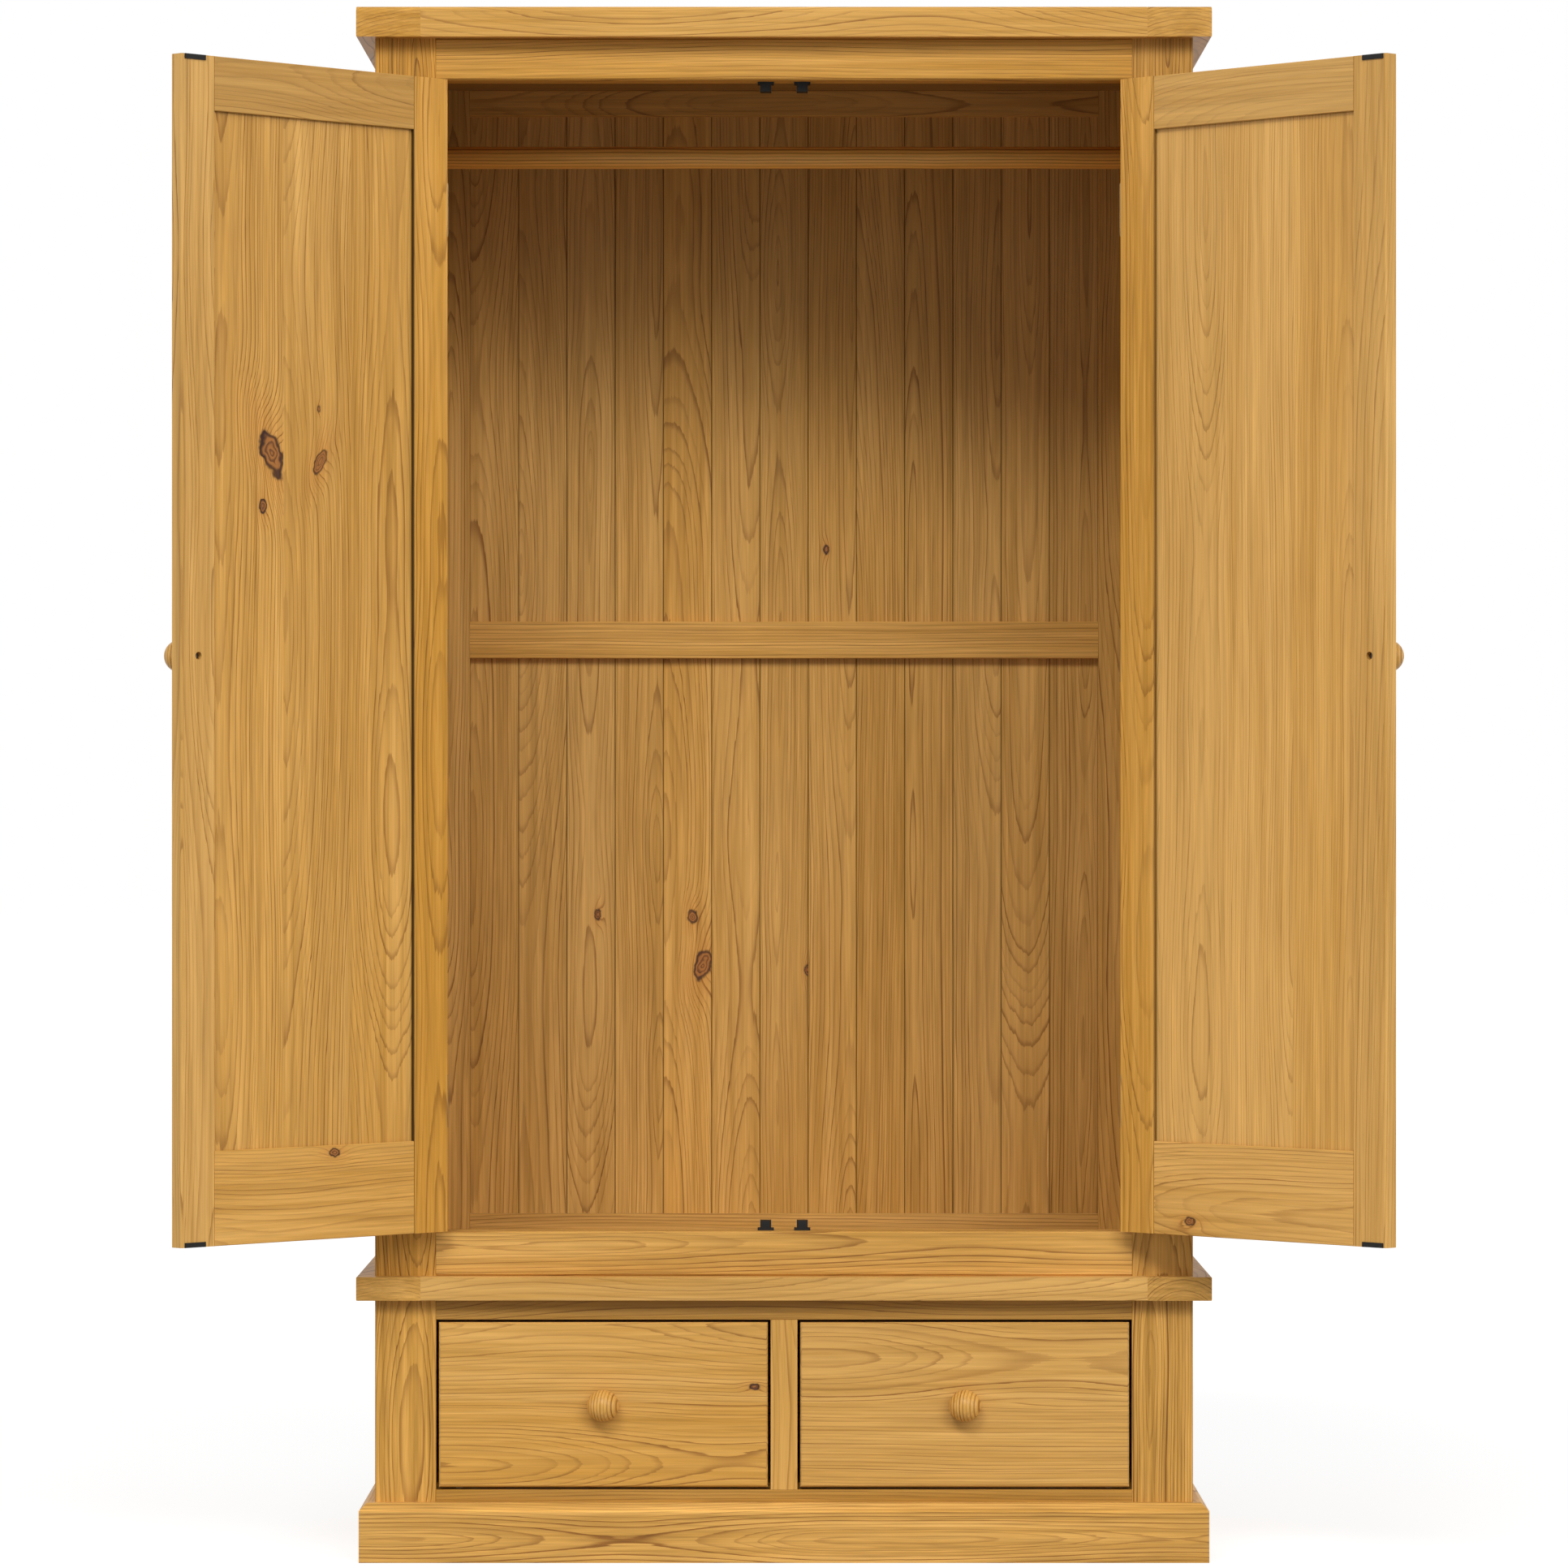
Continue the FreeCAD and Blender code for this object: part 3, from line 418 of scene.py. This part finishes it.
# The dark bands along the hinge stiles and panel edges are painted shade in the panel's groove.
DOORS = {
    "left": {
        "hinge_stile": dict(axes="xyz", warm=0.9, light=1.04, bold=0.9, groove_shade=(1.0, 0.001, 0.12)),
        "meeting_stile": dict(axes="xyz", warm=0.3, light=0.98, bold=0.8),
        "top_rail": dict(axes="zyx", warm=0.4, light=0.82, bold=0.6),
        "bottom_rail": dict(axes="zyx", warm=0.4, light=1.0, bold=0.8, knots=((0.92, 0.41, 0.005, 0.0),)),
        "panel": dict(axes="xyz", strip=0.107, warm=0.7, light=0.97, bold=1.0, groove_shade=(0.0, 0.0095, 0.12),
                      knots=((0.695, 0.671, 0.0165, 0.4), (0.465, 0.665, 0.0095, -0.4),
                             (0.738, 0.62, 0.0055, 0.0), (0.472, 0.716, 0.0022, 0.0))),
    },
    "right": {
        "hinge_stile": dict(axes="xyz", warm=1.0, light=1.08, bold=0.9, groove_shade=(0.0, 0.001, 0.4)),
        "meeting_stile": dict(axes="xyz", warm=0.1, light=1.02, bold=0.7),
        "top_rail": dict(axes="zyx", warm=0.1, light=1.0, bold=0.6),
        "bottom_rail": dict(axes="zyx", warm=0.1, light=1.1, bold=0.7, knots=((0.155, 0.8, 0.005, 0.0),)),
        "panel": dict(axes="xyz", strip=0.107, warm=0.2, light=1.16, bold=0.7, groove_shade=(1.0, 0.0095, 0.4)),
    },
}


def finish_door(side, seed):
    """A door's boards, with painted shade in the groove between the panel and the hinge stile."""
    body = side + "_door"
    for number, (part, facts) in enumerate(DOORS[side].items()):
        name = f"{body}_{part}"
        cover(name, pine(name, seed=seed + number, body=body, **facts))


def finish_drawer(side, seed, warm, knots=()):
    """A drawer's front, glued from strips, and the plainer boards of its box."""
    body = side + "_drawer"
    name = body + "_front"
    front = dict(strip=0.104, warm=warm, light=0.95, bold=0.8, knots=knots)
    cover(name, pine(name, "zyx", seed, body=body, **front))
    box = {"sides": dict(axes="zxy", pair=True), "back": dict(axes="zyx"),
           "bottom": dict(axes="xzy", strip=0.13)}
    for number, (part, facts) in enumerate(box.items(), start=1):
        name = f"{body}_{part}"
        cover(name, pine(name, seed=seed + number, body=body, **facts))


def satin(name, colour, roughness, metal=0.0):
    """A plain moulded or plated finish with a fine grain, slight colour drift and a low sheen."""
    paint = Paint.named(name)
    x, y, z = paint.place()
    speck = paint.noise(x * 900.0, y * 900.0, z * 900.0, 2.0)
    cloud = paint.noise(x * 60.0, y * 60.0, z * 60.0, 2.0)
    tone = paint.shade(colour, 1.0 + cloud * 0.5 + speck * 0.25)
    paint.join(tone, paint.shader.inputs["Base Color"])
    paint.join(roughness + speck * 0.25 + cloud * 0.2, paint.shader.inputs["Roughness"])
    paint.shader.inputs["Metallic"].default_value = metal
    paint.shader.inputs["Specular IOR Level"].default_value = SHEEN
    paint.bump(speck, 0.0002, 0.25)
    return paint.owner


def finish_hardware():
    """Black catches and the plates they hold, antiqued hinges and dull zinc screws."""
    black = satin("black_plastic", linear(10, 8, 7), 0.6)
    steel = satin("antiqued_steel", linear(150, 132, 100), 0.38, 1.0)
    screws = satin("dull_zinc", linear(92, 82, 70), 0.45, 1.0)
    cover("magnetic_catches", black)
    for name in ("hinge_frame_leaves", "hinge_pins"):
        cover(name, steel)
    cover("hinge_frame_screws", screws)
    for side in SIDES:
        cover(side + "_door_strike_plates", black)
        cover(side + "_door_hinge_leaves", steel)
        cover(side + "_door_screws", screws)
        cover(side + "_drawer_knob_screw", screws)


def lathe(name, start, direction, profile, around=72):
    """A closed turned solid: start + height * direction + radius * (cos a * first + sin a * second), for
    each (radius, height) of the profile and each angle a, where first and second are square to direction.
    The first and last radius are zero, and each becomes one point."""
    direction = np.array(direction, float)
    helper = np.array((0.0, 0.0, 1.0)) if abs(direction[2]) < 0.9 else np.array((1.0, 0.0, 0.0))
    first = np.cross(direction, helper)
    first /= np.linalg.norm(first)
    second = np.cross(direction, first)
    radius, height = np.array(profile, float).T
    angle = np.linspace(0, 2 * math.pi, around, endpoint=False)
    spoke = np.cos(angle)[:, None] * first + np.sin(angle)[:, None] * second
    body = radius[1:-1, None, None] * spoke[None] + height[1:-1, None, None] * direction
    ends = np.array((height[0] * direction, height[-1] * direction))
    points = np.concatenate((body.reshape(-1, 3), ends)) + np.array(start, float)
    rows = len(radius) - 2
    grid = np.arange(rows * around).reshape(rows, around)
    a, b = grid[:-1], grid[1:]
    quads = np.stack((a, b, np.roll(b, -1, 1), np.roll(a, -1, 1)), -1).reshape(-1, 4)
    pole = np.full(around, rows * around)
    foot = np.stack((pole, grid[0], np.roll(grid[0], -1)), -1)
    tip = np.stack((pole + 1, np.roll(grid[-1], -1), grid[-1]), -1)
    mesh = bpy.data.meshes.new(name)
    mesh.from_pydata(points.tolist(), [], quads.tolist() + foot.tolist() + tip.tolist())
    mesh.polygons.foreach_set("use_smooth", np.ones(len(mesh.polygons), bool))
    mesh.update()
    piece = bpy.data.objects.new(name, mesh)
    bpy.context.scene.collection.objects.link(piece)
    return piece


def arc(centre, radii, start, end, count=14):
    """Points of an ellipse's arc in the profile's plane, between two angles in degrees."""
    angle = np.radians(np.linspace(start, end, count))
    return list(zip(centre[0] + radii[0] * np.cos(angle), centre[1] + radii[1] * np.sin(angle)))


def turned_wood(name, axes, seed, centre, reach, light=1.05):
    """Wood for a turned piece about centre, with reach as its radius, cut from beside the pith, so that the
    rings cross it."""
    paint = Paint.named("pine_" + name)
    place = paint.place()
    across, through, along = (place["xyz".index(letter)] - centre["xyz".index(letter)] for letter in axes)
    wave = paint.noise(across * 20.0, along * 5.0, float(seed), 2.0) * 0.006
    rings = (((across + reach * 9.0) ** 2.0 + (through - reach) ** 2.0) ** 0.5 + wave) / RING
    phase = rings.math("FRACT")
    luck = paint.chance(rings.math("FLOOR") * 1.7 + float(seed))
    late = phase.step(0.45, 0.85) * phase.step(1.0, 0.93) * (luck[0] * 0.6 + 0.35)
    streak = paint.noise(across * 420.0, through * 420.0, along * 14.0, 3.0, 0.6)
    early = paint.mix(0.4 + wave * 30.0, EARLY_PALE, EARLY_WARM)
    colour = paint.mix(late, early, LATE_WARM)
    paint.join(paint.shade(colour, light + streak * 0.7), paint.shader.inputs["Base Color"])
    paint.join(0.42 + streak * 0.12, paint.shader.inputs["Roughness"])
    paint.shader.inputs["Specular IOR Level"].default_value = SHEEN
    paint.bump(streak * 0.5 - late * 0.6, 0.0005, 0.3)
    return paint.owner


def stand(piece, body, node):
    """The piece moves with the body and is shown for the CAD node."""
    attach(piece, body)
    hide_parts(node)


# Metres, and the degrees below the ball's middle at which it is cut flat behind.
KNOB_RADIUS, KNOB_LENGTH, KNOB_NECK = 0.0195, 0.033, 0.010
KNOB_CUT = 26.0


def knob_profile():
    """A neck with a cove at the board, and a ball cut flat behind: (radius, height) from foot to tip."""
    seat = KNOB_LENGTH - KNOB_RADIUS
    flat = seat - KNOB_RADIUS * math.sin(math.radians(KNOB_CUT))
    edge = KNOB_RADIUS * math.cos(math.radians(KNOB_CUT))
    cove = [(KNOB_NECK + 0.0012 * (1 - t) ** 2, 0.0012 * t) for t in np.linspace(0, 1, 5)]
    under = [(KNOB_NECK, flat - 0.0004), (KNOB_NECK + 0.0004, flat), (edge - 0.0006, flat)]
    ball = arc((0, seat), (KNOB_RADIUS, KNOB_RADIUS), -KNOB_CUT + 2, 90, 28)
    return [(0, 0)] + cove + under + ball[:-1] + [(0, KNOB_LENGTH)]


def finish_knobs():
    """The four knobs as smooth turned pieces. A door knob stands on the outer face of its turned door."""
    for seed, side in enumerate(SIDES, start=60):
        low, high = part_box(side + "_drawer_knob")
        foot = ((low[0] + high[0]) / 2, high[1], (low[2] + high[2]) / 2)
        piece = lathe(side + "_drawer_knob_turned", foot, (0, -1, 0), knob_profile())
        piece.data.materials.append(turned_wood(piece.name, "xyz", seed, foot, KNOB_RADIUS))
        stand(piece, side + "_drawer", side + "_drawer_knob")
        turn = closed_turn(side + "_door")
        low, high, _ = limits(side + "_door_knob", turn)
        foot = turn.inverted() @ Vector(((low[0] + high[0]) / 2, high[1], (low[2] + high[2]) / 2))
        outward = turn.inverted().to_3x3() @ Vector((0, -1, 0))
        piece = lathe(side + "_door_knob_turned", foot, outward, knob_profile())
        piece.data.materials.append(turned_wood(piece.name, "xyz", seed + 5, foot, KNOB_RADIUS))
        stand(piece, side + "_door", side + "_door_knob")


def finish_rail():
    """The hanging rail as a smooth turned piece with eased ends."""
    low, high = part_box("hanging_rail")
    radius, length = (high[2] - low[2]) / 2, high[0] - low[0]
    start = (low[0], (low[1] + high[1]) / 2, (low[2] + high[2]) / 2)
    ease = 0.001
    profile = [(0, 0), (radius - ease, 0), (radius, ease), (radius, length - ease), (radius - ease, length),
               (0, length)]
    rail = lathe("hanging_rail_turned", start, (1, 0, 0), profile)
    rail.data.materials.append(turned_wood(rail.name, "zyx", 70, start, radius, 1.45))
    stand(rail, "root", "hanging_rail")


def finish_sockets():
    """The rail's sockets keep their CAD shape and get the grain of turned wood."""
    low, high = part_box("rail_sockets")
    centre = (0.0, (low[1] + high[1]) / 2, (low[2] + high[2]) / 2)
    reach = 0.023
    cover("rail_sockets", turned_wood("rail_sockets", "yxz", 71, centre, reach))


def seen_directly(paint):
    """1 on rays from the camera, in reflections and through glass, and 0 on rays that only light."""
    rays = paint.node("ShaderNodeLightPath", {})
    camera, glossy, through = (Field(paint, rays.outputs[name]) for name in (
        "Is Camera Ray", "Is Glossy Ray", "Is Transmission Ray"))
    return camera.math("MAXIMUM", glossy).math("MAXIMUM", through)


def make_stage():
    """A large pale floor. What the camera sees of it is lifted to white, and the shadow on it stays."""
    half = 40.0
    mesh = bpy.data.meshes.new("floor")
    mesh.from_pydata([(-half, -half, 0), (half, -half, 0), (half, half, 0), (-half, half, 0)], [],
                     [(0, 1, 2, 3)])
    floor = bpy.data.objects.new("floor", mesh)
    bpy.context.scene.collection.objects.link(floor)
    paint = Paint.named("floor")
    seen = seen_directly(paint)
    glow = paint.mix(seen, (0.0, 0.0, 0.0), (FLOOR_LIFT,) * 3)
    paint.shader.inputs["Base Color"].default_value = (*(FLOOR_TONE,) * 3, 1.0)
    paint.shader.inputs["Roughness"].default_value = 0.9
    paint.shader.inputs["Specular IOR Level"].default_value = 0.0
    paint.join(glow, paint.shader.inputs["Emission Color"])
    paint.shader.inputs["Emission Strength"].default_value = 1.0
    mesh.materials.append(paint.owner)


def make_light():
    """A white surround that is weaker as light than to the eye, a long softbox in front, and a weak fill
    from each side."""
    world = bpy.data.worlds.new("studio")
    bpy.context.scene.world = world
    paint = Paint(world, "Background")
    paint.shader.inputs["Color"].default_value = (1.0, 1.0, 1.0, 1.0)
    strength = seen_directly(paint) * (1.0 - SURROUND) + SURROUND
    paint.join(strength, paint.shader.inputs["Strength"])
    for name, side, height, power, spread in LAMPS:
        lamp = bpy.data.lights.new(name, "SUN")
        lamp.energy = power
        lamp.angle = math.radians(spread)
        sun = bpy.data.objects.new(name, lamp)
        bpy.context.scene.collection.objects.link(sun)
        turn, lift = math.radians(side), math.radians(height)
        aim = Vector((math.sin(turn), -math.cos(turn), math.tan(lift)))
        sun.rotation_euler = aim.to_track_quat("Z", "Y").to_euler()


def make_camera():
    """A level camera on the wardrobe's middle line, at about half its height."""
    camera = bpy.data.cameras.new("camera")
    camera.lens = 154.0
    camera.sensor_width = 36.0
    camera.clip_end = 200.0
    eye = bpy.data.objects.new("camera", camera)
    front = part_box("left_stile")[0][1]
    eye.location = (0.0, front - CAMERA_DISTANCE, CAMERA_HEIGHT)
    eye.rotation_euler = (math.pi / 2, 0.0, 0.0)
    bpy.context.scene.collection.objects.link(eye)
    bpy.context.scene.camera = eye


# Lamps: degrees to the right of the front, degrees above the horizon, strength, and spread in degrees.
# The six in front stand for one long softbox that hangs from high on the left to low on the right.
LAMPS = (
    ("softbox_1", -26.0, 42.0, 0.40, 14.0),
    ("softbox_2", -12.0, 40.5, 0.70, 14.0),
    ("softbox_3", 3.0, 38.5, 0.25, 14.0),
    ("softbox_4", 16.0, 33.5, 0.43, 14.0),
    ("softbox_5", 27.0, 28.0, 0.35, 14.0),
    ("softbox_6", 37.0, 20.0, 0.33, 14.0),
    ("right_fill", 74.0, 14.0, 0.6, 30.0),
    ("left_fill", -74.0, 14.0, 0.6, 30.0),
)
# The share of the white surround that lights the scene, and the floor's own tone and what is added to it.
SURROUND = 0.25
FLOOR_TONE, FLOOR_LIFT = 0.4, 0.76
CAMERA_DISTANCE, CAMERA_HEIGHT = 8.25, 0.956

finish_carcass()
finish_door("left", 100)
finish_door("right", 120)
finish_drawer("left", 140, 0.6, ((0.61, 0.96, 0.0035, 0.0),))
finish_drawer("right", 150, 0.3)
finish_hardware()
finish_knobs()
finish_rail()
finish_sockets()
make_stage()
make_light()
make_camera()
bpy.context.scene.view_settings.view_transform = "Standard"
